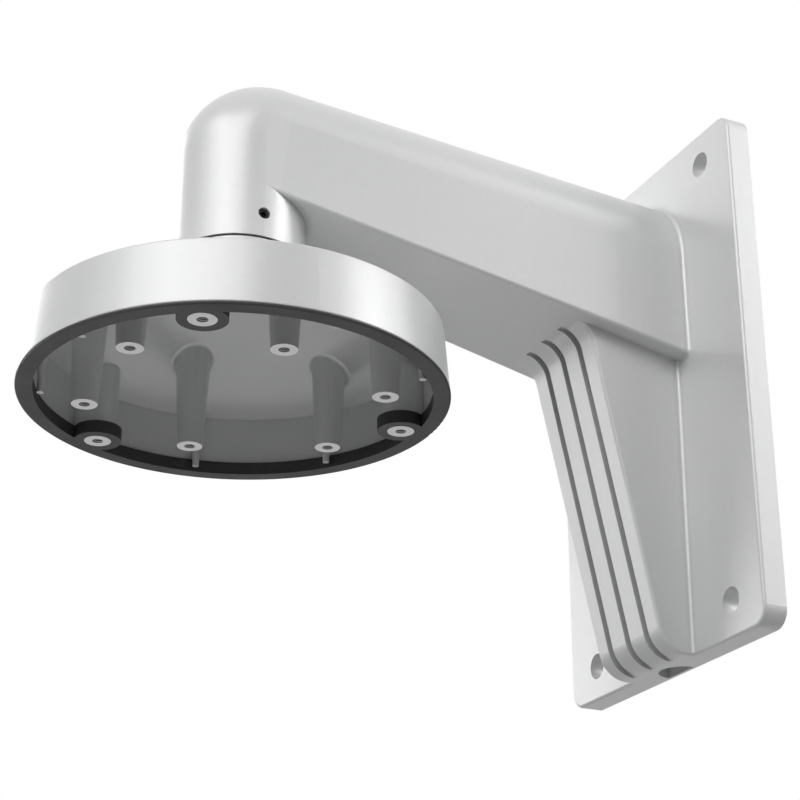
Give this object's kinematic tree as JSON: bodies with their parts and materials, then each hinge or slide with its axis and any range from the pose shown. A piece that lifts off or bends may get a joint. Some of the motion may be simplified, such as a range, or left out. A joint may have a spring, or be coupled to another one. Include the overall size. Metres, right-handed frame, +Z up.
{
  "type": "camera wall bracket",
  "caption": "White cast wall bracket for a dome camera: grooved gusset and hollow arm on a wall plate, with an elbow, a spigot and a round adapter cap with a gasket.",
  "frame": {"origin": "centre of the wall plate's back face, midway between the four wall screw holes, on the wall's surface", "axes": "+Y into the wall, so the arm reaches out along -Y; +Z up; +X to the right for a person facing the wall"},
  "size_m": [0.136, 0.23, 0.1826],
  "materials": {
    "painted_casting": "satin",
    "black_rubber": "matte",
    "plated_steel": "satin"
  },
  "bodies": {
    "root": {"wall_arm": "painted_casting", "adapter_cap": "painted_casting", "rim_gasket": "black_rubber", "neck_seal": "black_rubber", "lock_set_screw": "plated_steel"}
  },
  "joints": []
}
